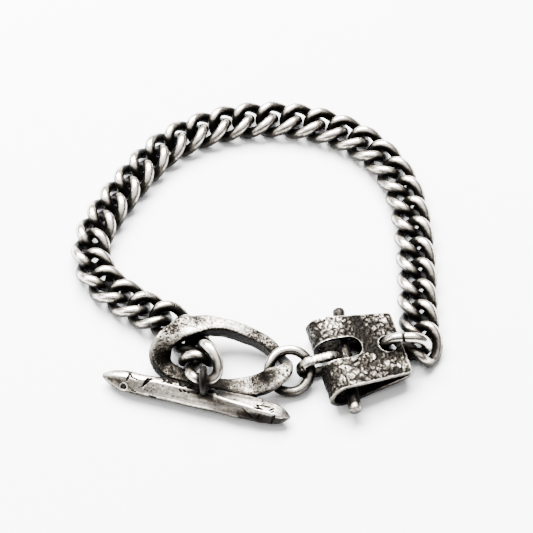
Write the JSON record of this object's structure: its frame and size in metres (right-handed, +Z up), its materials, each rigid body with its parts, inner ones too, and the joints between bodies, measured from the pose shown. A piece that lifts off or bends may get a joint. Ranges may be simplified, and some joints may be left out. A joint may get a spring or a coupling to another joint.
{
  "type": "chain bracelet",
  "caption": "Heavy curb chain bracelet closed by a toggle clasp: a pointed bar through a cast oval ring, joined to the chain by a folded metal tab.",
  "frame": {"origin": "middle of the bracelet's outline on the surface it lies on", "axes": "+Z up from the surface, +X to the right along the toggle bar's side, +Y away from the clasp across the wrist opening"},
  "size_m": [0.0709, 0.0732, 0.0089],
  "materials": {
    "silver": "oxidised silver, worn bright on the crests and black in the recesses",
    "dark_silver": "hammered oxidised silver, mostly dark with bright high spots"
  },
  "bodies": {
    "root": {"toggle_bar": "silver", "toggle_ring": "silver", "jump_ring": "silver", "cross_pin": "silver", "folded_tab": "dark_silver", "connector_ring": "silver", "link_01": "silver", "link_02": "silver", "link_03": "silver", "link_04": "silver", "link_05": "silver", "link_06": "silver", "link_07": "silver", "link_08": "silver", "link_09": "silver", "link_10": "silver", "link_11": "silver", "link_12": "silver", "link_13": "silver", "link_14": "silver", "link_15": "silver", "link_16": "silver", "link_17": "silver", "link_18": "silver", "link_19": "silver", "link_20": "silver", "link_21": "silver", "link_22": "silver", "link_23": "silver", "link_24": "silver", "link_25": "silver", "link_26": "silver", "link_27": "silver", "link_28": "silver", "link_29": "silver", "link_30": "silver", "link_31": "silver", "link_32": "silver", "link_33": "silver", "link_34": "silver"}
  },
  "joints": []
}
